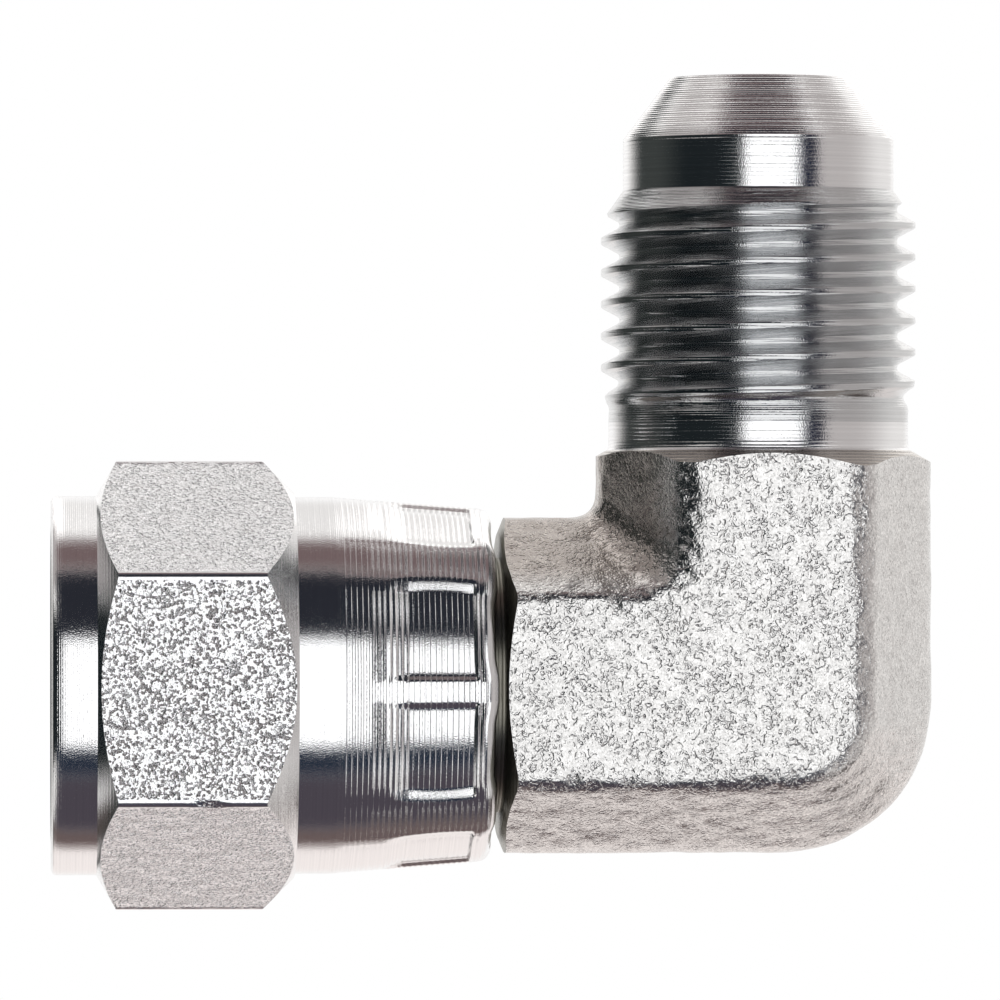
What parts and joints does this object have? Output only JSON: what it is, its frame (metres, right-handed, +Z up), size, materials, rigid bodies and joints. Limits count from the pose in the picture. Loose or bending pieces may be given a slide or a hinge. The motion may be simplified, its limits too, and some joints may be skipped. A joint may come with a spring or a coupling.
{
  "type": "hydraulic elbow adapter",
  "caption": "Right-angle hydraulic elbow adapter in plated steel: a forged body with a male flare end and a crimped female swivel nut.",
  "frame": {"origin": "where the centre line of the male end crosses the centre line of the swivel nut, midway between the two wrench flats", "axes": "+Z up the male flare end, -X out of the mouth of the swivel nut, Y square to the wrench flats"},
  "size_m": [0.0352, 0.0156, 0.0333],
  "materials": {
    "forged_steel": "bright zinc plating over a shot-blasted forging, with turned ends",
    "turned_steel": "bright zinc plating over fine turning marks, with blasted hexagon flats"
  },
  "bodies": {
    "elbow": {"elbow_body": "forged_steel"},
    "nut": {"swivel_nut": "turned_steel"}
  },
  "joints": [
    {"name": "nut_swivel", "type": "hinge", "parent": "elbow", "child": "nut", "pos_m": [-0.01601, 0, 0], "axis": [-1, 0, 0], "continuous": true}
  ]
}
